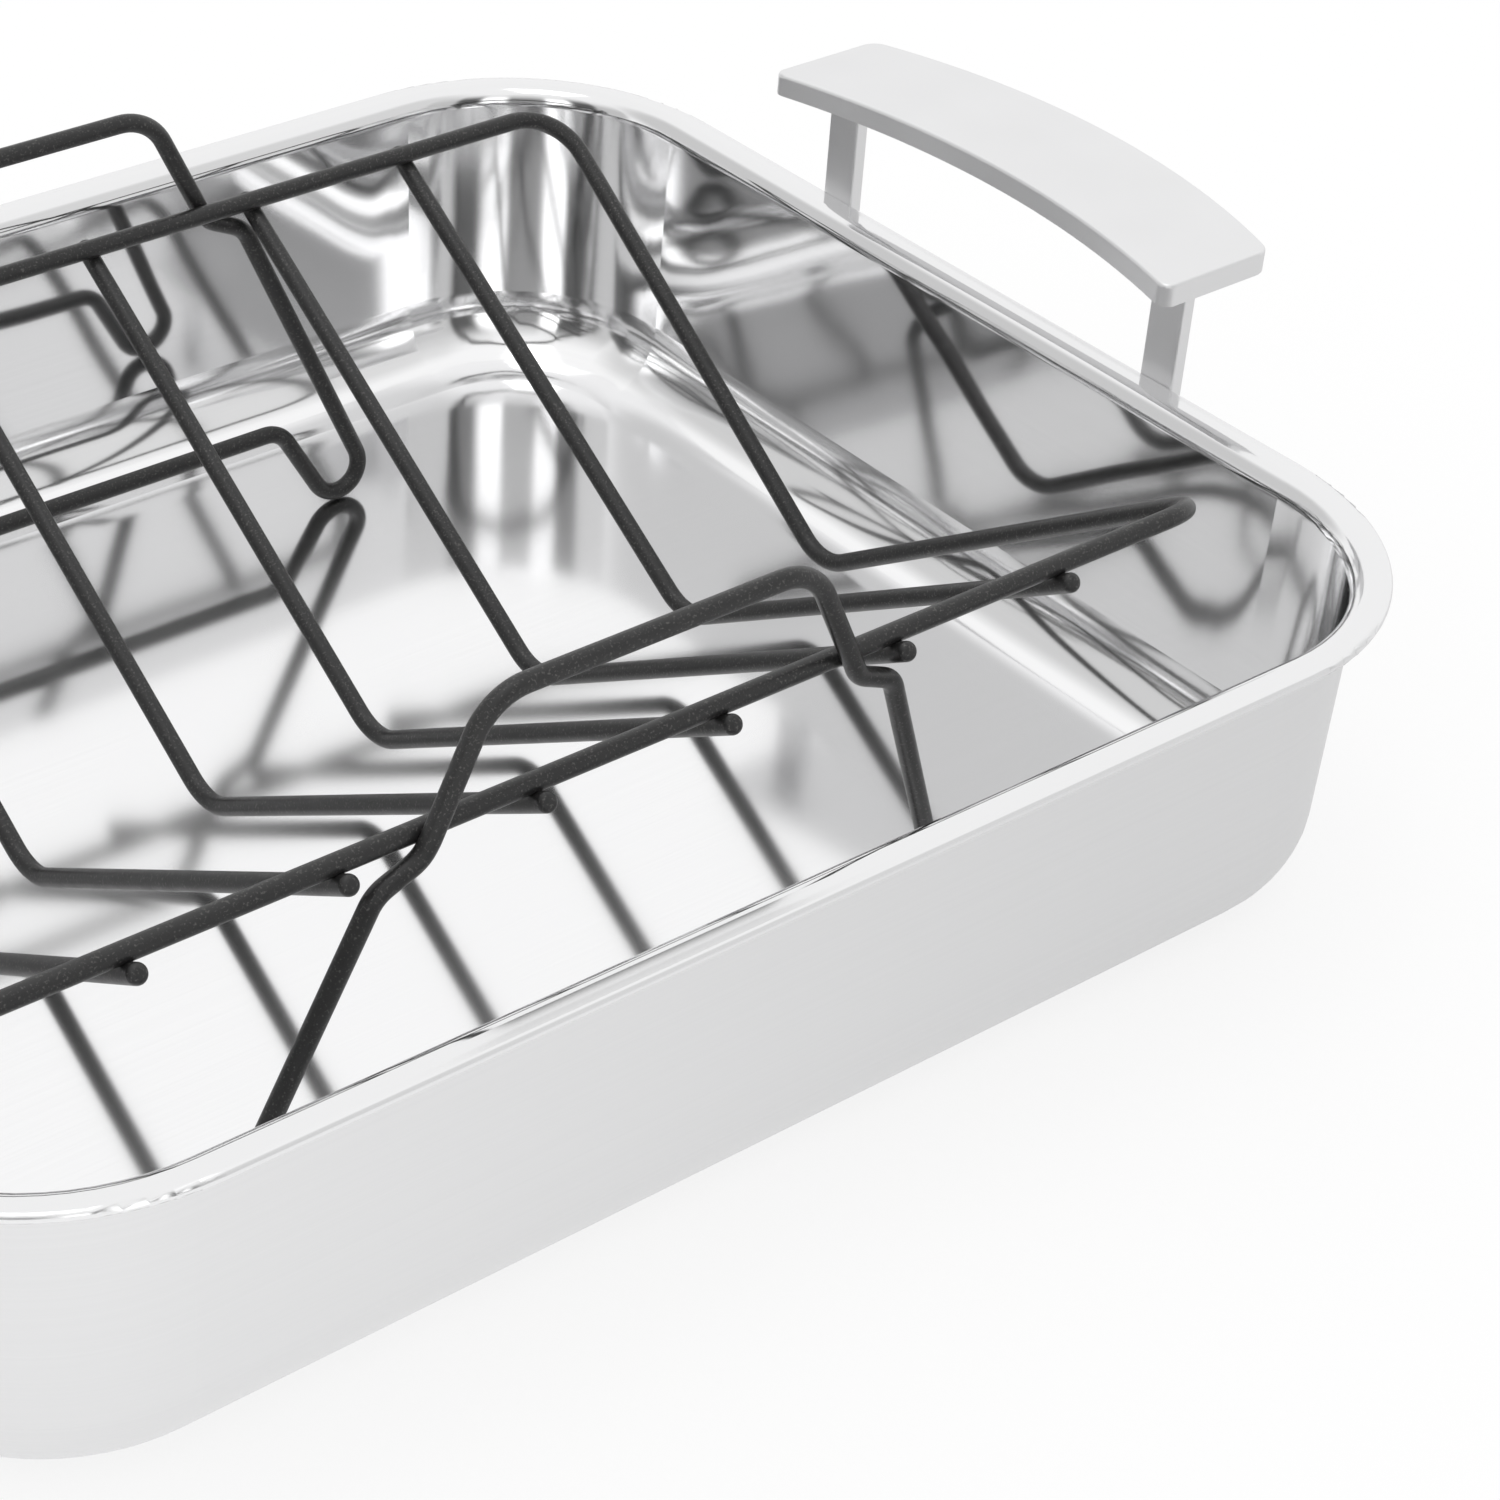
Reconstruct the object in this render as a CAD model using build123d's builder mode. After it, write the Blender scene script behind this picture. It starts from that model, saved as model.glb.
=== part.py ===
from build123d import *
import math
import os

# A roasting pan with a lift-out V rack, in millimetres.
# The origin is the centre of the pan's underside, X runs along the pan and Z is up.

os.makedirs("parts", exist_ok=True)

# Pan, pressed from one sheet: the opening is measured inside the rim
sheet = 2.2
pan_length = 405.4
pan_width = 346.4
pan_height = 86.0
pan_corner = 54.0
draft = 1.4
floor_fillet = 20.0
rim_bend = 5.0
rim_width = 10.5
rim_corner_ease = 2.5
rim_top_round = 1.2
rim_under_round = 0.7

# Cast handle: a bowed plate on two flat posts, outside the rim, with feet turned in under it
handle_length = 150.0
handle_width = 39.2
handle_inner_bow = 11.7
handle_outer_bow = 14.0
handle_thickness = 6.0
handle_rise = 36.5
handle_inset = 4.9
handle_shift_y = -3.7
handle_outer_corner = 6.0
handle_inner_corner = 3.0
handle_edge_round = 1.0
post_inset = 12.9
post_width = 11.2
post_thickness = 4.2
post_edge_round = 0.7
post_top_flare = 3.0
post_top_round = 2.4
post_foot_bend = 3.4

# How deep two pieces sink into each other at a weld
weld_sink = 0.4

# Rack wire
wire = 4.8
tip_round_share = 0.35

# Where the lift-out rack stands on the pan's floor
rack_shift_x = -10.3
rack_shift_y = -2.4
foot_clearance = 0.3

# Frame wire: two long rails joined by a V at each end
rail_spacing = 255.6
rail_height = 96.5
frame_length = 351.0
frame_end_flare = 2.8
frame_v_lift = 13.0
frame_corner_bend = 15.0
v_bend = 14.0

# V wires welded under the rails
cross_wire_count = 6
frame_end_gap = 50.5
cross_wire_lift = 13.9
cross_wire_tail = 6.5

# Leg loops, outside the rails: lifting handle, shoulder, splayed leg, foot and bottom bar
loop_shift = 2.8
loop_top_span = 85.4
loop_top_rise = 29.9
loop_rail_span = 114.2
shoulder_top_drop = 4.2
shoulder_low_drop = 9.4
shoulder_low_span = 140.4
loop_foot_span = 210.0
loop_toe_length = 15.9
loop_bar_span = 152.2
loop_bar_lift = 23.7
loop_lean = 6.7
loop_top_bend = 14.5
loop_fold_bend = 14.0
shoulder_bend = 8.0
toe_bend = 7.6
bar_bend = 8.0

# Places that several pieces share
wire_radius = wire / 2
weld_offset = wire - weld_sink
rail_z = sheet + rail_height
rail_y = rail_spacing / 2
rack_cross_plane = Plane(origin=(rack_shift_x, 0, 0), x_dir=(0, 1, 0), z_dir=(1, 0, 0))
rack_long_plane = Plane(origin=(0, rack_shift_y, 0), x_dir=(1, 0, 0), z_dir=(0, -1, 0))


# The pan's hollow: drafted walls that meet the floor in a large fillet
with BuildPart() as pan_hollow:
    with BuildSketch(Plane.XY.offset(pan_height)):
        RectangleRounded(pan_length, pan_width, pan_corner)
    extrude(amount=pan_height - sheet, dir=(0, 0, -1), taper=draft)
    fillet(pan_hollow.faces().sort_by(Axis.Z)[0].edges(), radius=floor_fillet)


# Pan shell: one sheet of steel round the hollow, bent over into a rim
rim_length = pan_length + 2 * rim_width
rim_breadth = pan_width + 2 * rim_width
rim_corner = pan_corner + rim_width + rim_corner_ease

with BuildPart() as pan_shell:
    with BuildSketch(Plane.XY.offset(pan_height)):
        RectangleRounded(pan_length + 2 * sheet, pan_width + 2 * sheet, pan_corner + sheet)
    extrude(amount=pan_height, dir=(0, 0, -1), taper=draft)
    fillet(pan_shell.faces().sort_by(Axis.Z)[0].edges(), radius=floor_fillet + sheet)

    # The rim is a flat flange, a little narrower round the corners, with the sheet's bend under it
    with BuildSketch(Plane.XY.offset(pan_height - sheet)):
        RectangleRounded(rim_length, rim_breadth, rim_corner)
    extrude(amount=sheet)
    rim_underside = pan_shell.faces().filter_by(Axis.Z).sort_by(Axis.Z)[1]
    fillet(rim_underside.inner_wires()[0].edges(), radius=rim_bend - sheet)

    # The walls bend over into the rim
    add(pan_hollow.part, mode=Mode.SUBTRACT)
    rim_top = pan_shell.faces().filter_by(Axis.Z).sort_by(Axis.Z)[-1]
    fillet(rim_top.inner_wires()[0].edges(), radius=rim_bend)

    # The rim's cut edge is rounded above and below
    rim_top = pan_shell.faces().filter_by(Axis.Z).sort_by(Axis.Z)[-1]
    fillet(rim_top.outer_wire().edges(), radius=rim_top_round)
    rim_underside = pan_shell.faces().filter_by(Axis.Z).sort_by(Axis.Z)[-2]
    fillet(rim_underside.outer_wire().edges(), radius=rim_under_round)

pan_shell.part.label = "pan_shell"
export_step(pan_shell.part, "parts/pan_shell.step")


# Handle on the right short side
rim_outer_x = rim_length / 2
handle_inner_x = rim_outer_x - handle_inset
handle_outer_x = handle_inner_x + handle_width
handle_front_y = handle_shift_y - handle_length / 2
handle_back_y = handle_shift_y + handle_length / 2
handle_bottom_z = pan_height + handle_rise - handle_thickness
post_inner_x = rim_outer_x - weld_sink
post_mid_x = post_inner_x + post_thickness / 2
post_y = handle_length / 2 - post_inset

# One post: a flat bar outside the rim that flares into the plate, its foot turned in under the rim
foot_top_z = pan_height - sheet + weld_sink
foot_bottom_z = foot_top_z - post_thickness
foot_inner_x = pan_length / 2 + rim_bend
post_end_z = handle_bottom_z + handle_thickness / 2
bar_half = post_width / 2
top_half = bar_half + post_top_flare

with BuildPart() as handle_post:
    with BuildSketch(Plane.YZ.offset(post_inner_x)):
        with BuildLine():
            FilletPolyline(
                (-bar_half, foot_bottom_z),
                (bar_half, foot_bottom_z),
                (bar_half, handle_bottom_z),
                (top_half, handle_bottom_z),
                (top_half, post_end_z),
                (-top_half, post_end_z),
                (-top_half, handle_bottom_z),
                (-bar_half, handle_bottom_z),
                radius=[0, 0, post_top_round, 0, 0, 0, 0, post_top_round],
                close=True,
            )
        make_face()
    extrude(amount=post_thickness)
    heel = handle_post.edges().filter_by(Axis.Y).group_by(Axis.Z)[0].sort_by(Axis.X)[-1]
    fillet(heel, radius=post_foot_bend)
    bar_edges = handle_post.edges().filter_by(Axis.Z)
    bar_edges = bar_edges.filter_by_position(Axis.Z, foot_bottom_z, handle_bottom_z)
    fillet(bar_edges, radius=post_edge_round)
    with BuildSketch(Plane.XZ):
        with BuildLine():
            Polyline(
                (foot_inner_x, foot_bottom_z),
                (post_mid_x, foot_bottom_z),
                (post_mid_x, foot_top_z),
                (foot_inner_x, foot_top_z),
                close=True,
            )
        make_face()
    extrude(amount=bar_half - post_edge_round, both=True)

with BuildPart() as handle_right:
    # Flat plate, bowed outward in plan
    with BuildSketch(Plane.XY.offset(handle_bottom_z)) as handle_plan:
        with BuildLine():
            inner_edge = ThreePointArc(
                (handle_inner_x - handle_inner_bow, handle_front_y),
                (handle_inner_x, handle_shift_y),
                (handle_inner_x - handle_inner_bow, handle_back_y),
            )
            outer_edge = ThreePointArc(
                (handle_outer_x - handle_outer_bow, handle_front_y),
                (handle_outer_x, handle_shift_y),
                (handle_outer_x - handle_outer_bow, handle_back_y),
            )
            Line(inner_edge @ 0, outer_edge @ 0)
            Line(inner_edge @ 1, outer_edge @ 1)
        make_face()
        fillet(handle_plan.vertices().group_by(Axis.X)[0], radius=handle_inner_corner)
        fillet(handle_plan.vertices().group_by(Axis.X)[-1], radius=handle_outer_corner)
    extrude(amount=handle_thickness)
    fillet(handle_right.edges().group_by(Axis.Z)[-1], radius=handle_edge_round)

    # Two posts carry the plate and are welded to the rim's edge and underside
    with Locations((0, handle_shift_y - post_y, 0), (0, handle_shift_y + post_y, 0)):
        add(handle_post.part)

handle_right.part.label = "handle_right"
export_step(handle_right.part, "parts/handle_right.step")


# The same handle on the left short side
with BuildPart() as handle_left:
    mirror(handle_right.part, about=Plane.YZ)

handle_left.part.label = "handle_left"
export_step(handle_left.part, "parts/handle_left.step")


# Frame wire: half of the closed wire, mirrored across the rack
frame_corner_x = rack_shift_x + frame_length / 2
frame_v_x = frame_corner_x - frame_end_flare
front_rail_y = rack_shift_y - rail_y
back_rail_y = rack_shift_y + rail_y

with BuildPart() as frame_wire:
    with BuildLine() as frame_path:
        FilletPolyline(
            (rack_shift_x, front_rail_y, rail_z),
            (frame_corner_x, front_rail_y, rail_z),
            (frame_v_x, rack_shift_y, sheet + frame_v_lift),
            (frame_corner_x, back_rail_y, rail_z),
            (rack_shift_x, back_rail_y, rail_z),
            radius=[frame_corner_bend, v_bend, frame_corner_bend],
        )
    with BuildSketch(Plane(origin=frame_path.line @ 0, z_dir=frame_path.line % 0)):
        Circle(wire_radius)
    sweep()
    mirror(about=rack_cross_plane)

frame_wire.part.label = "frame_wire"
export_step(frame_wire.part, "parts/frame_wire.step")


# V wires, each touching both rails from below, with a rounded tail past each rail
cross_apex_z = sheet + cross_wire_lift
rail_rise = rail_z - cross_apex_z
cross_wire_pitch = (frame_length - 2 * frame_end_gap) / (cross_wire_count - 1)
rail_direction = math.atan2(rail_rise, rail_y)
cross_slope = rail_direction - math.asin(weld_offset / math.hypot(rail_rise, rail_y))
cross_tip_y = rail_y + cross_wire_tail
cross_tip_z = cross_apex_z + cross_tip_y * math.tan(cross_slope)

for number in range(cross_wire_count):
    cross_x = rack_shift_x + (number - (cross_wire_count - 1) / 2) * cross_wire_pitch
    with BuildPart() as cross_wire:
        with BuildLine() as cross_path:
            FilletPolyline(
                (cross_x, rack_shift_y - cross_tip_y, cross_tip_z),
                (cross_x, rack_shift_y, cross_apex_z),
                (cross_x, rack_shift_y + cross_tip_y, cross_tip_z),
                radius=v_bend,
            )
        with BuildSketch(Plane(origin=cross_path.line @ 0, z_dir=cross_path.line % 0)):
            Circle(wire_radius)
        sweep()
        tip_faces = cross_wire.faces().filter_by(GeomType.PLANE)
        fillet(tip_faces.edges(), radius=wire * tip_round_share)

    cross_wire.part.label = f"cross_wire_{number + 1}"
    export_step(cross_wire.part, f"parts/cross_wire_{number + 1}.step")


# Leg loop plane: upright above the rail, leaning inward below it
loop_centre_x = rack_shift_x + loop_shift
loop_top_y = front_rail_y - weld_offset
lean = math.radians(loop_lean)
foot_z = sheet + foot_clearance + wire_radius
loop_foot_drop = (rail_z - foot_z) / math.cos(lean)


def loop_point(across, drop):
    """A point on the front loop, across from its middle and down from the rail's level."""
    inward = max(drop, 0) * math.sin(lean)
    down = drop * math.cos(lean) if drop > 0 else drop
    return (loop_centre_x + across, loop_top_y + inward, rail_z - down)


# The side of the lifting handle runs straight on, past the rail, to the shoulder
side_slope = (loop_rail_span - loop_top_span) / 2 / loop_top_rise
shoulder_top_across = loop_rail_span / 2 + side_slope * shoulder_top_drop

with BuildPart() as leg_loop_front:
    with BuildLine() as loop_path:
        FilletPolyline(
            loop_point(0, -loop_top_rise),
            loop_point(loop_top_span / 2, -loop_top_rise),
            loop_point(loop_rail_span / 2, 0),
            loop_point(shoulder_top_across, shoulder_top_drop),
            loop_point(shoulder_low_span / 2, shoulder_low_drop),
            loop_point(loop_foot_span / 2, loop_foot_drop),
            loop_point(loop_foot_span / 2 - loop_toe_length, loop_foot_drop),
            loop_point(loop_bar_span / 2, loop_foot_drop - loop_bar_lift),
            loop_point(0, loop_foot_drop - loop_bar_lift),
            radius=[
                loop_top_bend,
                loop_fold_bend,
                shoulder_bend,
                shoulder_bend,
                toe_bend,
                toe_bend,
                bar_bend,
            ],
        )
    with BuildSketch(Plane(origin=loop_path.line @ 0, z_dir=loop_path.line % 0)):
        Circle(wire_radius)
    sweep()
    mirror(about=rack_cross_plane.offset(loop_shift))

leg_loop_front.part.label = "leg_loop_front"
export_step(leg_loop_front.part, "parts/leg_loop_front.step")


# The back loop mirrors the front one
with BuildPart() as leg_loop_back:
    mirror(leg_loop_front.part, about=rack_long_plane)

leg_loop_back.part.label = "leg_loop_back"
export_step(leg_loop_back.part, "parts/leg_loop_back.step")
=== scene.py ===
# %% [markdown]
# # A roasting pan with a lift-out rack
# The pan is one sheet of stainless steel, pressed deep and bent over into a rim, with a cast handle
# welded on each short side. A V-shaped rack of coated wire stands loose inside it. Every shape comes
# from the CAD frame at its real size, so this lesson is about finishes, light and the camera. The
# first step loads the frame.

# %% Load the frame
import math

import bmesh
import bpy
from mathutils import Matrix, Vector


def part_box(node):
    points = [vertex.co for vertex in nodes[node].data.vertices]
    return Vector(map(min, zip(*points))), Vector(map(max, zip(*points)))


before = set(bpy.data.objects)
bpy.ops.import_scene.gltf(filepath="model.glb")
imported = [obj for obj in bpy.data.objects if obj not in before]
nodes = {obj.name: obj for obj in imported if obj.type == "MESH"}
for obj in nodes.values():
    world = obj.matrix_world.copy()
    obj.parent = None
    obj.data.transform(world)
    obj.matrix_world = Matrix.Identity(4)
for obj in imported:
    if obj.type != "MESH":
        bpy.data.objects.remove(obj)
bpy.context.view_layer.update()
MM = 0.001
print("nodes:", sorted(nodes))

# %% [markdown]
# ## The camera
# A photograph is matched by giving the camera the place, the turn and the lens that the photographer's
# had. The picture is cropped off-centre, which the lens shift copies: it slides the picture without
# turning the camera, so upright edges keep their slant.

# %% Place the camera
IMAGE_PIXELS = 1500
SENSOR_WIDTH = 36
CAMERA_PLACE = Vector((-412.0, -609.3, 534.0)) * MM
CAMERA_AZIMUTH = -37.6
CAMERA_ELEVATION = 37.25
CAMERA_ROLL = 1.72
FOCAL_PIXELS = 3593
AXIS_PIXEL = (499.7, 888.9)
NEAREST = 10 * MM

camera_data = bpy.data.cameras.new("photo_camera")
camera_data.sensor_width = SENSOR_WIDTH
camera_data.lens = SENSOR_WIDTH * FOCAL_PIXELS / IMAGE_PIXELS
camera_data.shift_x = 0.5 - AXIS_PIXEL[0] / IMAGE_PIXELS
camera_data.shift_y = AXIS_PIXEL[1] / IMAGE_PIXELS - 0.5
camera_data.clip_start = NEAREST
camera = bpy.data.objects.new("photo_camera", camera_data)
bpy.context.scene.collection.objects.link(camera)
camera.matrix_world = (
    Matrix.Translation(CAMERA_PLACE)
    @ Matrix.Rotation(math.radians(CAMERA_AZIMUTH), 4, "Z")
    @ Matrix.Rotation(math.radians(90 - CAMERA_ELEVATION), 4, "X")
    @ Matrix.Rotation(math.radians(CAMERA_ROLL), 4, "Z")
)
bpy.context.scene.camera = camera
print("lens in mm:", round(camera_data.lens, 1))

# %% [markdown]
# ## Building materials in code
# A material is a small network of nodes. The first helper adds a node and fills its sockets. The others
# do sums with it, because most masks are sums on the coordinates.


# %% Helpers for nodes and sums
def add_node(tree, kind, inputs=None, **settings):
    """Adds a node, sets its options, and fills or links its inputs by name or number."""
    node = tree.nodes.new(kind)
    for name, value in settings.items():
        setattr(node, name, value)
    for key, value in (inputs or {}).items():
        if isinstance(value, bpy.types.NodeSocket):
            tree.links.new(value, node.inputs[key])
        else:
            node.inputs[key].default_value = value
    return node


def math_node(tree, operation, *values):
    """The result of a sum, a product or a comparison."""
    inputs = dict(enumerate(values))
    return add_node(tree, "ShaderNodeMath", inputs, operation=operation).outputs[0]


def vector_node(tree, operation, *vectors):
    """The results of a sum on vectors: a vector in place 0, and a number under the name Value."""
    inputs = dict(enumerate(vectors))
    return add_node(tree, "ShaderNodeVectorMath", inputs, operation=operation).outputs


def separate(tree, vector):
    """A vector's three parts."""
    return add_node(tree, "ShaderNodeSeparateXYZ", {0: vector}).outputs


def smooth_step(tree, value, start, end):
    """0 before start and 1 after end, with a soft turn between them."""
    inputs = {"Value": value, "From Min": start, "From Max": end}
    node = add_node(tree, "ShaderNodeMapRange", inputs, interpolation_type="SMOOTHSTEP")
    return node.outputs["Result"]


def object_coordinates(tree):
    """The place of the point that is shaded, in metres from the object's origin."""
    return add_node(tree, "ShaderNodeTexCoord").outputs["Object"]


print("helpers for sums ready")

# %% [markdown]
# ## Mixing and relief
# A finish is mixed from a few values and colours by masks that run from 0 to 1. The Mix node has its
# sockets once for each kind of thing that it mixes, all in one list and under the same names, so they
# are found by number. Relief is a height that a Bump node turns into the direction in which light
# leaves, and the mesh stays as it is. With a distance and a strength of 1 that height is in metres.

# %% Helpers for finishes
# For each kind: the numbers of the two inputs and of the output
MIX_SOCKETS = {"FLOAT": (2, 3, 0), "VECTOR": (4, 5, 1), "RGBA": (6, 7, 2)}
COOL_TRACE = 0.005


def mix(tree, kind, mask, low, high):
    """Low where the mask is 0 and high where it is 1, both of one kind: FLOAT, VECTOR or RGBA."""
    first, second, result = MIX_SOCKETS[kind]
    inputs = {0: mask, first: low, second: high}
    return add_node(tree, "ShaderNodeMix", inputs, data_type=kind).outputs[result]


def mix_values(tree, mask, low, high):
    return mix(tree, "FLOAT", mask, low, high)


def mix_colours(tree, mask, low, high):
    return mix(tree, "RGBA", mask, low, high)


def grey(value):
    """Steel's colour, a trace cooler than neutral grey."""
    return (value, value, value + COOL_TRACE, 1)


def bump_normal(tree, height):
    """The normal of a surface raised by a height in metres."""
    inputs = {"Height": height, "Distance": 1.0, "Strength": 1.0}
    return add_node(tree, "ShaderNodeBump", inputs).outputs[0]


def new_material(name):
    """A new material, its node tree and its Principled shader."""
    material = bpy.data.materials.new(name)
    material.use_nodes = True
    return material, material.node_tree, material.node_tree.nodes["Principled BSDF"]


print("helpers for finishes ready")

# %% [markdown]
# ## Node groups
# An effect that serves more than once goes into a node group with named sockets. It is built once, and
# each material places it with values of its own.


# %% Helpers for node groups
def new_group(name, inputs, outputs):
    """An empty shader node group with named sockets, and its two end nodes."""
    group = bpy.data.node_groups.new(name, "ShaderNodeTree")
    for socket_name, value in inputs.items():
        socket = group.interface.new_socket(socket_name, in_out="INPUT", socket_type="NodeSocketFloat")
        socket.default_value = value
    for socket_name in outputs:
        group.interface.new_socket(socket_name, in_out="OUTPUT", socket_type="NodeSocketFloat")
    return group, group.nodes.new("NodeGroupInput"), group.nodes.new("NodeGroupOutput")


def use_group(tree, group, **inputs):
    """The outputs of a group placed in a tree. An underscore stands for a space in a socket's name."""
    node = add_node(tree, "ShaderNodeGroup", node_tree=group)
    for key, value in inputs.items():
        node.inputs[key.replace("_", " ")].default_value = value
    return node.outputs


print("helpers for groups ready")

# %% [markdown]
# ## Where on the pan is this point?
# The pan is one piece, but its finish changes: the inside is mirror bright, the outside is satin and
# the rim is between the two. Painting that by hand would need a UV map. Here it is worked out from the
# coordinates, and for that the code has to know the sizes that shape the sheet: a rounded rectangle
# with a slight draft, a fillet at the floor and a bend into the rim.

# %% The pan's own measures
_, pan_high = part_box("pan_shell")
SHEET = 2.2 * MM
RIM_WIDTH = 10.5 * MM
PAN_CORNER = 54 * MM
FLOOR_FILLET = 20 * MM
RIM_BEND = 5 * MM
DRAFT_ANGLE = 1.4
DRAFT = math.tan(math.radians(DRAFT_ANGLE))
pan_height = pan_high.z
corner_x = pan_high.x - RIM_WIDTH - PAN_CORNER
corner_y = pan_high.y - RIM_WIDTH - PAN_CORNER
print("corner centre in mm:", round(corner_x / MM, 1), round(corner_y / MM, 1))

# %% [markdown]
# ## How far outside a rounded shape?
# Seen from above, and again in section at the floor, the hollow has straight sides and round corners.
# How far a point lies outside such a shape follows from its two distances past the corner's centre.


# %% Helper: distance outside a rounded shape
def rounded_distance(tree, across, up, radius):
    """Distance outside a shape with a round corner, from the two distances past the corner's centre."""
    across_out = math_node(tree, "MAXIMUM", across, 0.0)
    up_out = math_node(tree, "MAXIMUM", up, 0.0)
    across_square = math_node(tree, "POWER", across_out, 2.0)
    up_square = math_node(tree, "POWER", up_out, 2.0)
    beyond = math_node(tree, "SQRT", math_node(tree, "ADD", across_square, up_square))
    within = math_node(tree, "MINIMUM", math_node(tree, "MAXIMUM", across, up), 0.0)
    return math_node(tree, "SUBTRACT", math_node(tree, "ADD", beyond, within), radius)


print("distance helper ready")

# %% [markdown]
# ## A soft start to the corners
# A press doesn't start a corner's turn at once. In the solid the wall is flat up to the corner, and its
# reflections would break off there in a hard line. This height lets the curvature grow evenly over the
# reach instead. Adding that growth up twice gives a cubic on each side, and the reach squared over
# twelve radii as the height at the line itself.

# %% Helper: eased turn
EASE_REACH = 24 * MM
EASE_HEIGHT = EASE_REACH**2 / (12 * PAN_CORNER)


def eased_turn(tree, past):
    """The height that lets a flat wall start its turn early, rising round past = 0 over the reach."""
    to_end = math_node(tree, "SUBTRACT", EASE_REACH, math_node(tree, "ABSOLUTE", past))
    near = math_node(tree, "MAXIMUM", to_end, 0.0)
    cubic = math_node(tree, "POWER", math_node(tree, "DIVIDE", near, EASE_REACH), 3.0)
    rest = math_node(tree, "SUBTRACT", EASE_HEIGHT, math_node(tree, "MULTIPLY", cubic, EASE_HEIGHT))
    signed = math_node(tree, "MULTIPLY", math_node(tree, "SIGN", past), rest)
    return math_node(tree, "ADD", signed, EASE_HEIGHT)


print("easing height at the line in mm:", round(EASE_HEIGHT / MM, 2))

# %% [markdown]
# ## Masks for the pan
# This group measures how far a point lies outside the pan's hollow, and turns the distance into masks:
# inside, floor, rim, the rim's outer edge, the duller parts, and the corners. The duller parts are the
# floor, its fillet and the corners, which a polishing wheel reaches less well than the walls. Each mask
# but the first fades in between two places. The last output is the easing height of the corners.

# %% Where each mask fades in
FLOOR_FADE = (-0.6 * FLOOR_FILLET, -1.1 * FLOOR_FILLET)
RIM_FADE = (pan_height - 1.2 * RIM_BEND, pan_height - 0.8 * RIM_BEND)
EDGE_FADE = (RIM_WIDTH - 3.5 * MM, RIM_WIDTH - 2.0 * MM)
LOW_FADE = (SHEET + 1.2 * FLOOR_FILLET, SHEET + 0.8 * FLOOR_FILLET)
CORNER_FADE = (-EASE_REACH, EASE_REACH)
print("rim mask in mm:", [round(place / MM, 1) for place in RIM_FADE])

# %% [markdown]
# ## The group itself
# The pan is the same at both ends and on both sides, so the absolute value of x and y does for all four
# corners. One rounded distance in plan finds the wall, and a second one in section finds the hollow.

# %% Group: places on the pan
MARKS = ["Inside", "Floor", "Rim", "Edge", "Duller", "Corner", "Ease"]
places, _, places_out = new_group("pan_places", {}, MARKS)
x, y, z = separate(places, object_coordinates(places))
past_x = math_node(places, "SUBTRACT", math_node(places, "ABSOLUTE", x), corner_x)
past_y = math_node(places, "SUBTRACT", math_node(places, "ABSOLUTE", y), corner_y)
depth = math_node(places, "SUBTRACT", pan_height, z)
wall_radius = math_node(places, "SUBTRACT", PAN_CORNER, math_node(places, "MULTIPLY", depth, DRAFT))
wall_distance = rounded_distance(places, past_x, past_y, wall_radius)
over_wall = math_node(places, "ADD", wall_distance, FLOOR_FILLET)
under_fillet = math_node(places, "SUBTRACT", SHEET + FLOOR_FILLET, z)
hollow_distance = rounded_distance(places, over_wall, under_fillet, FLOOR_FILLET)

inside = math_node(places, "LESS_THAN", hollow_distance, SHEET / 2)
floor = math_node(places, "MULTIPLY", inside, smooth_step(places, wall_distance, *FLOOR_FADE))
rim = smooth_step(places, z, *RIM_FADE)
edge = math_node(places, "MULTIPLY", rim, smooth_step(places, wall_distance, *EDGE_FADE))
corner_along = smooth_step(places, past_x, *CORNER_FADE)
corner_across = smooth_step(places, past_y, *CORNER_FADE)
corner = math_node(places, "MULTIPLY", corner_along, corner_across)
duller = math_node(places, "MAXIMUM", smooth_step(places, z, *LOW_FADE), corner)
turns = math_node(places, "ADD", eased_turn(places, past_x), eased_turn(places, past_y))
ease = math_node(places, "MULTIPLY", inside, turns)
for name, value in zip(MARKS, (inside, floor, rim, edge, duller, corner, ease)):
    places.links.new(value, places_out.inputs[name])
print("places group:", len(places.nodes), "nodes")

# %% [markdown]
# ## Grain
# Steel that has been brushed or polished keeps fine lines along the direction of the belt. A picture of
# such lines would have to be unwrapped onto the pan. A noise that changes hundreds of times faster along
# one axis than along the others gives the same lines from the coordinates alone.

# %% Group: brushed grain
GRAIN_BREAKUP = 0.6
grain, grain_in, grain_out = new_group(
    "brushed_grain", {"Along X": 3.0, "Along Y": 3.0, "Along Z": 1200.0, "Detail": 4.0}, ["Lines"]
)
grain_scale = add_node(
    grain,
    "ShaderNodeCombineXYZ",
    {0: grain_in.outputs["Along X"], 1: grain_in.outputs["Along Y"], 2: grain_in.outputs["Along Z"]},
).outputs[0]
stretched = vector_node(grain, "MULTIPLY", object_coordinates(grain), grain_scale)[0]
grain_noise = add_node(
    grain,
    "ShaderNodeTexNoise",
    {
        "Vector": stretched,
        "Scale": 1.0,
        "Detail": grain_in.outputs["Detail"],
        "Roughness": GRAIN_BREAKUP,
    },
).outputs["Fac"]
grain.links.new(grain_noise, grain_out.inputs["Lines"])
print("grain group ready")

# %% [markdown]
# ## Unevenness
# No pressed or cast surface is quite even. This group gives a soft noise with lumps of a size that is
# stated in metres, so one group serves for blasted steel, for specks and for the slow bow of a wall.

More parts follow.
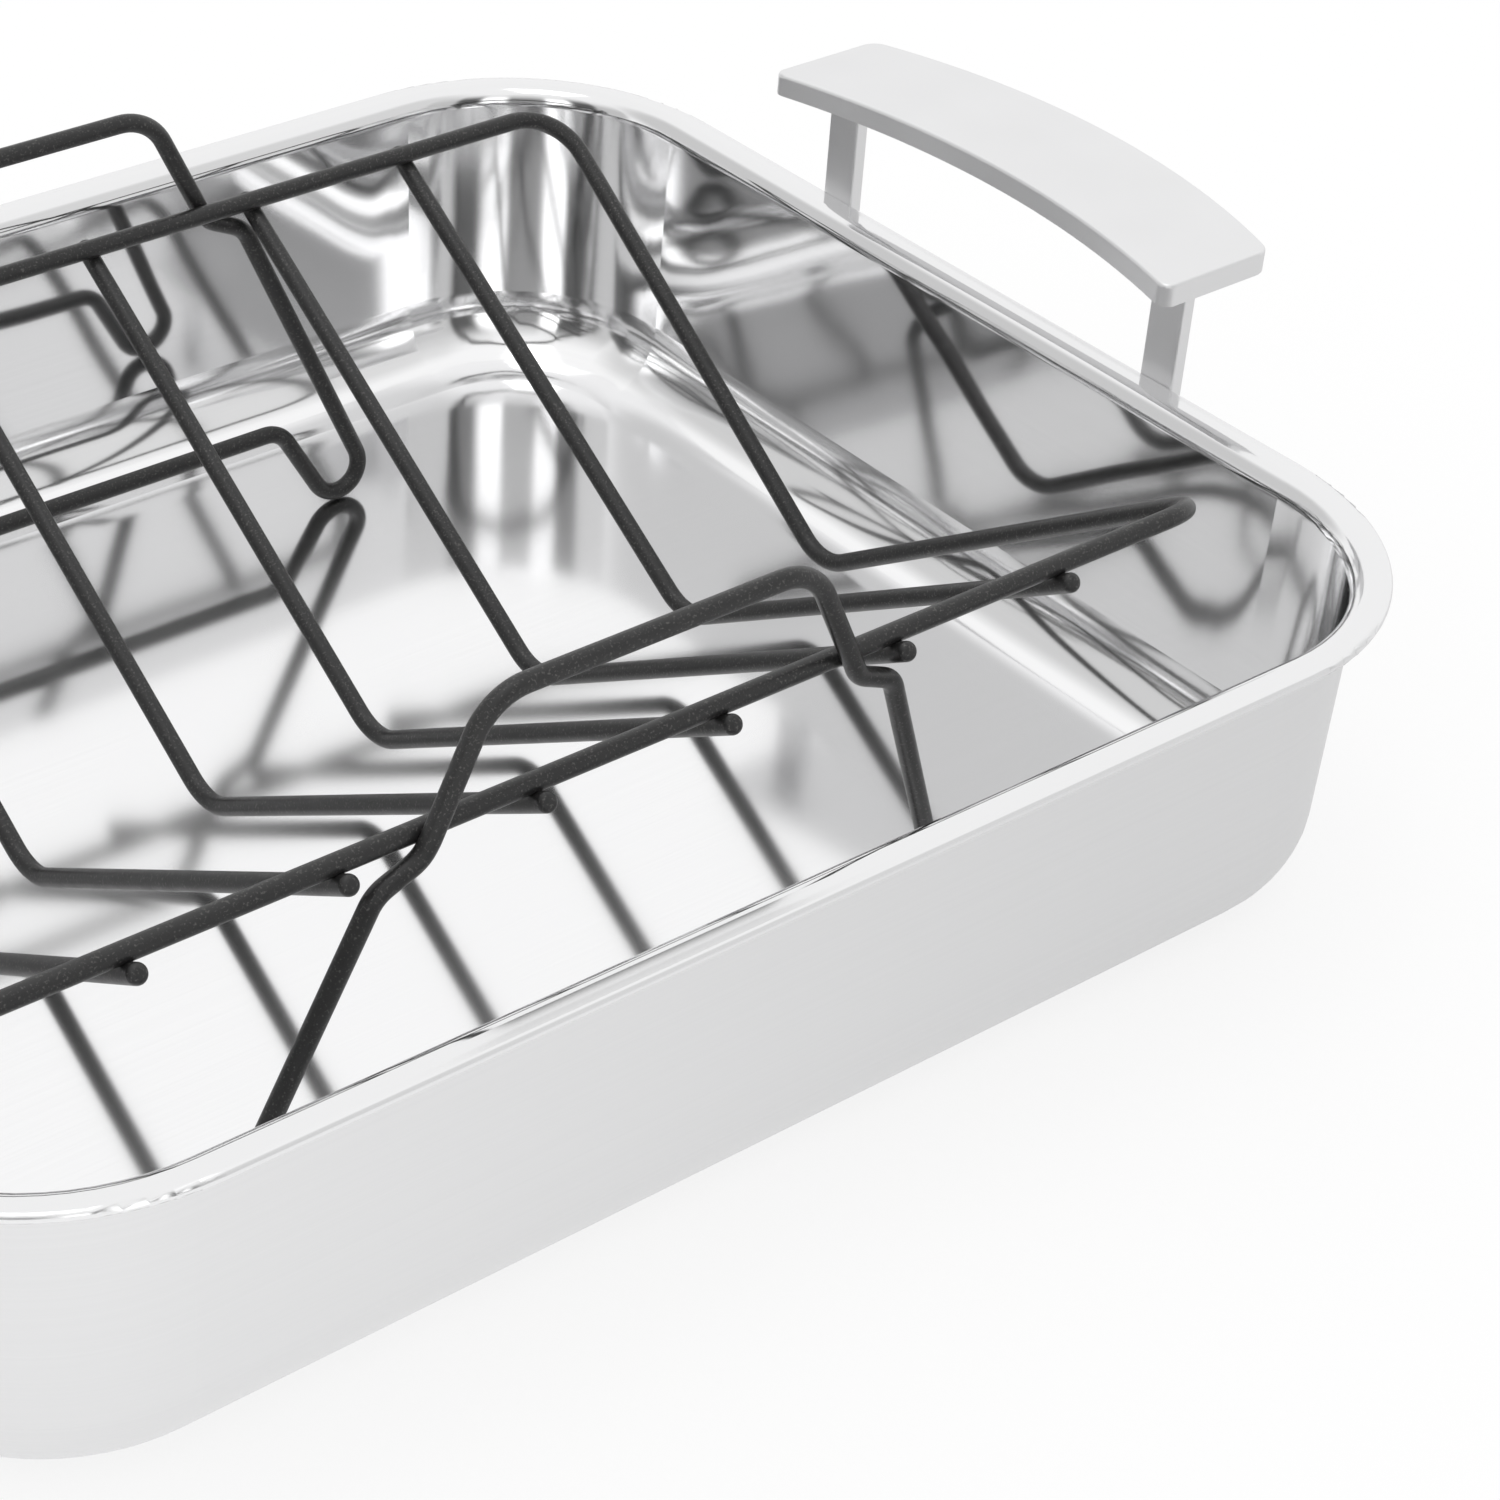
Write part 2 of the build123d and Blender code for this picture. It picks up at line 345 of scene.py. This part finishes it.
# %% Group: uneven surface
UNEVEN_BREAKUP = 0.5
uneven, uneven_in, uneven_out = new_group("uneven_surface", {"Size": 0.04, "Detail": 2.0}, ["Value"])
per_metre = math_node(uneven, "DIVIDE", 1.0, uneven_in.outputs["Size"])
uneven_noise = add_node(
    uneven,
    "ShaderNodeTexNoise",
    {
        "Vector": object_coordinates(uneven),
        "Scale": per_metre,
        "Detail": uneven_in.outputs["Detail"],
        "Roughness": UNEVEN_BREAKUP,
    },
).outputs["Fac"]
uneven.links.new(uneven_noise, uneven_out.inputs["Value"])
print("uneven group ready")

# %% [markdown]
# ## What stainless steel needs
# Polished steel has almost no colour of its own: it shows the room. The base colour is the share of
# light that steel sends back, and the roughness says how blurred the room looks. Each pair below is a
# low and a high value that a mask or a noise mixes, and the depths are in metres. The outside and the
# rim get darker greys than the inside: painted shade, for the dimmer surroundings that the outer wall
# reflects and for the darker reflections on the rim's rounded top.

# %% Values for the pan's steel
INNER_ROUGHNESS = (0.06, 0.11)
OUTER_ROUGHNESS = (0.29, 0.35)
RIM_ROUGHNESS = (0.09, 0.23)
POLISHED_GREY = (0.90, 0.95)
# Painted shade: the outside's grey is set below the inside's, for the dimmer surroundings that the outer
# wall reflects.
SATIN_SHADED_GREY = (0.78, 0.82)
# Painted shade: the rim's grey is set lower, for the darker reflections on its rounded top.
RIM_SHADED_GREY = 0.86
OUTER_GRAIN_DEPTH = 0.85e-6
INNER_GRAIN_DEPTH = 0.15e-6
WAVE_DEPTH = 2.4e-4
BOW_DEPTH = 3.0e-3
RIPPLE_DEPTH = 2.5e-4
print("steel's roughness inside and outside:", INNER_ROUGHNESS, OUTER_ROUGHNESS)

# %% [markdown]
# ## The steel's relief
# A pressed wall is never quite flat, and the slow waves in its bump bend the reflections as the real
# one's do. The floor and the rim stay flat, so two bumps are mixed by a mask. Fading the waves' height
# out instead would leave a false step where the mask ends.


# %% The pan's relief
def pan_relief(tree, place, grain_lines):
    """The steel's normal: grain everywhere, and slow waves except on the floor and the rim."""
    waves = use_group(tree, uneven, Size=0.05, Detail=1.0)["Value"]
    bow = use_group(tree, uneven, Size=0.22, Detail=0.0)["Value"]
    ripples = use_group(tree, grain, Along_X=90.0, Along_Y=90.0, Along_Z=3.0, Detail=0.0)["Lines"]

    grain_depth = mix_values(tree, place["Inside"], OUTER_GRAIN_DEPTH, INNER_GRAIN_DEPTH)
    fine = math_node(tree, "MULTIPLY", grain_lines, grain_depth)
    ripple_depth = math_node(tree, "MULTIPLY", place["Corner"], RIPPLE_DEPTH)
    wavy = fine
    for height in (
        math_node(tree, "MULTIPLY", waves, WAVE_DEPTH),
        math_node(tree, "MULTIPLY", bow, BOW_DEPTH),
        math_node(tree, "MULTIPLY", ripples, ripple_depth),
        place["Ease"],
    ):
        wavy = math_node(tree, "ADD", wavy, height)
    still = math_node(tree, "MAXIMUM", place["Floor"], place["Rim"])
    return mix(tree, "VECTOR", still, bump_normal(tree, wavy), bump_normal(tree, fine))


print("relief ready")

# %% [markdown]
# ## Stainless steel
# The masks now choose between the finishes. The grain's lines run level round the walls, and along the
# length of the floor. Metallic is 1, so the base colour tints the reflections and nothing else.


# %% The pan's steel
def pan_steel():
    material, tree, shader = new_material("pan_steel")
    place = use_group(tree, places)
    wall_lines = use_group(tree, grain, Along_X=4.0, Along_Y=4.0, Along_Z=1500.0)["Lines"]
    floor_lines = use_group(tree, grain, Along_X=4.0, Along_Y=1500.0, Along_Z=4.0)["Lines"]
    grain_lines = mix_values(tree, place["Floor"], wall_lines, floor_lines)

    inner = mix_values(tree, place["Duller"], *INNER_ROUGHNESS)
    outer = mix_values(tree, wall_lines, *OUTER_ROUGHNESS)
    body = mix_values(tree, place["Inside"], outer, inner)
    flange = mix_values(tree, place["Edge"], *RIM_ROUGHNESS)
    rough = mix_values(tree, place["Rim"], body, flange)
    tree.links.new(rough, shader.inputs["Roughness"])
    tree.links.new(pan_relief(tree, place, grain_lines), shader.inputs["Normal"])

    polished = mix_colours(tree, grain_lines, *map(grey, POLISHED_GREY))
    # Painted shade: the satin outside gets a darker grey than the polished inside.
    satin_shaded = mix_colours(tree, grain_lines, *map(grey, SATIN_SHADED_GREY))
    sides = mix_colours(tree, place["Inside"], satin_shaded, polished)
    # Painted shade: the rim gets a darker grey of its own.
    tone = mix_colours(tree, place["Rim"], sides, grey(RIM_SHADED_GREY))
    tree.links.new(tone, shader.inputs["Base Color"])
    shader.inputs["Metallic"].default_value = 1.0
    return material


steel = pan_steel()
print("steel nodes:", len(steel.node_tree.nodes))

# %% [markdown]
# ## Cast steel
# The handles are cast, then blasted to a fine satin. The grains are far smaller than a pixel of the
# picture, so roughness does most of the work, and a shallow bump breaks up the last of the mirror.

# %% Cast satin steel for the handles
CAST_ROUGHNESS = (0.32, 0.44)
CAST_GREY = (0.78, 0.84)
BLAST_DEPTH = 1.2e-5


def handle_steel():
    material, tree, shader = new_material("handle_steel")
    blasted = use_group(tree, uneven, Size=0.0011, Detail=3.0)["Value"]
    cloudy = use_group(tree, uneven, Size=0.03, Detail=2.0)["Value"]
    rough = mix_values(tree, cloudy, *CAST_ROUGHNESS)
    tree.links.new(rough, shader.inputs["Roughness"])
    height = math_node(tree, "MULTIPLY", blasted, BLAST_DEPTH)
    tree.links.new(bump_normal(tree, height), shader.inputs["Normal"])
    tone = mix_colours(tree, cloudy, *map(grey, CAST_GREY))
    tree.links.new(tone, shader.inputs["Base Color"])
    shader.inputs["Metallic"].default_value = 1.0
    return material


cast = handle_steel()
print("cast nodes:", len(cast.node_tree.nodes))

# %% [markdown]
# ## Non-stick coating
# The rack's wires carry a dark coating with a low, waxy gloss. Fine pale specks are painted into its
# colour, partly as the coating's own grain and partly as painted glints, for the light that the coat
# breaks into sparkles along the tops. The specks are the peaks of a very fine noise, and a coarser one
# leaves the coat a little uneven.

# %% The rack's coating
COAT_COLOURS = [(0.012, 0.012, 0.0125, 1), (0.022, 0.0215, 0.021, 1)]
# Pale specks: partly the coating's own grain, partly painted glints of light.
SPECK_AND_GLINT_COLOUR = (0.075, 0.073, 0.07, 1)
SPECK_AND_GLINT_FADE = (0.56, 0.72)
COAT_ROUGHNESS = (0.26, 0.46)
GRIT_DEPTH = 1.6e-5
PATCH_DEPTH = 3.0e-5


def wire_coating():
    material, tree, shader = new_material("wire_coating")
    speckle = use_group(tree, uneven, Size=0.0006, Detail=2.0)["Value"]
    patches = use_group(tree, uneven, Size=0.006, Detail=3.0)["Value"]
    coat = mix_colours(tree, patches, *COAT_COLOURS)
    # Pale specks painted into the colour, partly as painted glints.
    tone = mix_colours(tree, smooth_step(tree, speckle, *SPECK_AND_GLINT_FADE), coat, SPECK_AND_GLINT_COLOUR)
    tree.links.new(tone, shader.inputs["Base Color"])
    rough = mix_values(tree, patches, *COAT_ROUGHNESS)
    tree.links.new(rough, shader.inputs["Roughness"])
    grit = math_node(tree, "MULTIPLY", speckle, GRIT_DEPTH)
    height = math_node(tree, "ADD", grit, math_node(tree, "MULTIPLY", patches, PATCH_DEPTH))
    tree.links.new(bump_normal(tree, height), shader.inputs["Normal"])
    return material


coating = wire_coating()
print("coating nodes:", len(coating.node_tree.nodes))

# %% [markdown]
# ## Dressing the nodes
# Each piece of the CAD frame is an object in the scene. The shapes stay as they are, and each gets one
# material: the shell and the handles their steels, and every wire of the rack the coating.


# %% Dress the CAD nodes
def dress(name, material):
    slots = nodes[name].data.materials
    slots.clear()
    slots.append(material)


wires = sorted(name for name in nodes if "wire" in name or "loop" in name)
finishes = {"pan_shell": steel, "handle_right": cast, "handle_left": cast}
finishes.update((name, coating) for name in wires)
for name, material in finishes.items():
    dress(name, material)
print("dressed", len(finishes), "nodes")

# %% [markdown]
# ## The studio
# Bright metal is lit by what surrounds it. A room that is white all round gives white metal with no
# shape. A studio is dimmer on some sides, and here two soft patches do that, at the front right and at
# the back left. Cards standing in the scene could do it, but the room itself can be shaded by
# direction, with soft edges, and only for the rays that metal sends out. All else sees even white.

# %% Helpers for the room
EVEN_WHITE = 1.0


def towards(bearing, elevation):
    """The unit vector that points at a place on the room's wall, from two angles in degrees."""
    flat = math.cos(math.radians(elevation))
    return Vector(
        (
            flat * math.cos(math.radians(bearing)),
            flat * math.sin(math.radians(bearing)),
            math.sin(math.radians(elevation)),
        )
    )


def soft_patch(tree, tone, looking, bearing, elevation, core, edge, value):
    """Turns the room to a value round one direction, full within core degrees and gone past edge."""
    closeness = vector_node(tree, "DOT_PRODUCT", looking, towards(bearing, elevation))["Value"]
    mask = smooth_step(tree, closeness, math.cos(math.radians(edge)), math.cos(math.radians(core)))
    return mix_values(tree, mask, tone, value)


# Name, bearing, elevation, core and edge in degrees, and value
PATCHES = [("front right", -52, 30, 20, 42, 0.76), ("back left", 132, 26, 15, 38, 0.66)]
print("soft patches:", [name for name, *_ in PATCHES])

# %% [markdown]
# ## Behind the camera
# The low part of a studio behind the camera has the most in it: it is dim round the camera itself, a
# light stands to each side, past each light is a dark gap, and then come the walls. The pan's corners
# squeeze all of that into bright and dark streaks. The panels are nested, so each is laid over the one
# before it, and they fade out towards the ceiling.

# %% Panels behind the camera
CAMERA_SIDE = -130
LOW_FROM, LOW_TO = 60, 24
PANEL_SOFTNESS = 2.5
# Name, reach to both sides in degrees, and value
PANELS = [("walls", 62, 0.6), ("gaps", 42, 0.11), ("lights", 26.5, 1.6), ("camera", 11.5, 0.3)]


def camera_side(tree, tone, looking):
    """The low part of the room behind the camera: each panel reaches so many degrees to both sides."""
    across = vector_node(tree, "MULTIPLY", looking, (1, 1, 0))[0]
    level = vector_node(tree, "NORMALIZE", across)[0]
    closeness = vector_node(tree, "DOT_PRODUCT", level, towards(CAMERA_SIDE, 0))["Value"]
    aside = math_node(tree, "DEGREES", math_node(tree, "ARCCOSINE", closeness))
    height = separate(tree, looking)[2]
    low = smooth_step(tree, height, math.sin(math.radians(LOW_FROM)), math.sin(math.radians(LOW_TO)))
    for _, reach, value in PANELS:
        within = smooth_step(tree, aside, reach + PANEL_SOFTNESS, reach - PANEL_SOFTNESS)
        tone = mix_values(tree, math_node(tree, "MULTIPLY", low, within), tone, value)
    return tone


print("panels:", [name for name, _, _ in PANELS])

# %% [markdown]
# ## The room
# In the world, the Generated coordinates are the direction that a ray looks in. Light Path's Is Glossy
# Ray picks out the rays that come from metal, and only these see the shaded studio. To all others the
# world's strength is 1, which the Standard view shows as white.


# %% The room
def white_room():
    world = bpy.data.worlds.new("white_room")
    world.use_nodes = True
    tree = world.node_tree
    tree.nodes.clear()
    looking = add_node(tree, "ShaderNodeTexCoord").outputs["Generated"]
    tone = EVEN_WHITE
    for _, *patch in PATCHES:
        tone = soft_patch(tree, tone, looking, *patch)
    tone = camera_side(tree, tone, looking)
    in_metal = add_node(tree, "ShaderNodeLightPath").outputs["Is Glossy Ray"]
    strength = mix_values(tree, in_metal, EVEN_WHITE, tone)
    white = add_node(tree, "ShaderNodeBackground", {"Color": (1, 1, 1, 1), "Strength": strength})
    add_node(tree, "ShaderNodeOutputWorld", {"Surface": white.outputs[0]})
    bpy.context.scene.world = world
    return tree


bpy.context.scene.view_settings.view_transform = "Standard"
print("room nodes:", len(white_room().nodes))

# %% [markdown]
# ## One soft lamp
# The room's light comes from all sides and leaves almost no shadow. A weak lamp over the pan, wider than
# the pan itself, gives the wires a soft line of light along the top and the table a faint shadow.

# %% The lamp overhead
LAMP_PLACE = Vector((-0.1, 0.1, 1.6))
LAMP_AIM = Vector((0, 0, 0))
LAMP_SIZE = (0.8, 0.5)
LAMP_WATTS = 1.5

lamp_data = bpy.data.lights.new("overhead", "AREA")
lamp_data.shape = "RECTANGLE"
lamp_data.size, lamp_data.size_y = LAMP_SIZE
lamp_data.energy = LAMP_WATTS
lamp = bpy.data.objects.new("overhead", lamp_data)
bpy.context.scene.collection.objects.link(lamp)
lamp.location = LAMP_PLACE
lamp.rotation_euler = (LAMP_AIM - LAMP_PLACE).to_track_quat("-Z", "Y").to_euler()
print("lamp height in m:", round(LAMP_PLACE.z, 2))

# %% [markdown]
# ## The table
# A table for product pictures is white paper, lit until its shadows nearly vanish. The paper here is a
# plain diffuse white that keeps the pan's shadow, with a glow mixed in for the camera and for metal. In
# reflections the glow falls off to the right, which shades the satin wall along its length. More light
# on the table would brighten the pan too, and the glow doesn't. Cycles is told not to sample the glow
# as a lamp, because the paper isn't one, and the picture has less noise for it.

# %% White paper
PAPER_WHITE = (0.97, 0.97, 0.97, 1)
PAPER_ROUGHNESS = 0.9
GLOW_FOR_CAMERA = 0.75
GLOW_FOR_METAL = 0.7
GLOW_LOSS = 0.3
GLOW_FADE = (-0.2, 0.3)


def white_paper():
    material, tree, shader = new_material("white_paper")
    shader.inputs["Base Color"].default_value = PAPER_WHITE
    shader.inputs["Roughness"].default_value = PAPER_ROUGHNESS
    path = add_node(tree, "ShaderNodeLightPath").outputs
    falling = smooth_step(tree, separate(tree, object_coordinates(tree))[0], *GLOW_FADE)
    full_loss = math_node(tree, "MULTIPLY", path["Is Glossy Ray"], GLOW_LOSS)
    strength = math_node(tree, "SUBTRACT", EVEN_WHITE, math_node(tree, "MULTIPLY", falling, full_loss))
    glow = add_node(tree, "ShaderNodeEmission", {"Strength": strength})
    for_camera = math_node(tree, "MULTIPLY", path["Is Camera Ray"], GLOW_FOR_CAMERA)
    for_metal = math_node(tree, "MULTIPLY", path["Is Glossy Ray"], GLOW_FOR_METAL)
    share = math_node(tree, "MAXIMUM", for_camera, for_metal)
    mixed = add_node(tree, "ShaderNodeMixShader", {0: share, 1: shader.outputs[0], 2: glow.outputs[0]})
    tree.links.new(mixed.outputs[0], tree.nodes["Material Output"].inputs["Surface"])
    material.cycles.emission_sampling = "NONE"
    return material


paper = white_paper()
print("paper nodes:", len(paper.node_tree.nodes))

# %% [markdown]
# ## Laying the table
# The paper is one large square, made by bmesh's grid operator with a single face. It isn't part of
# the object.

# %% The table
TABLE_SIDE = 12.0
table_shape = bmesh.new()
bmesh.ops.create_grid(table_shape, x_segments=1, y_segments=1, size=TABLE_SIDE / 2)
table_mesh = bpy.data.meshes.new("table")
table_shape.to_mesh(table_mesh)
table_shape.free()
table_mesh.materials.append(paper)
table = bpy.data.objects.new("table", table_mesh)
bpy.context.scene.collection.objects.link(table)
print("table side in m:", TABLE_SIDE)
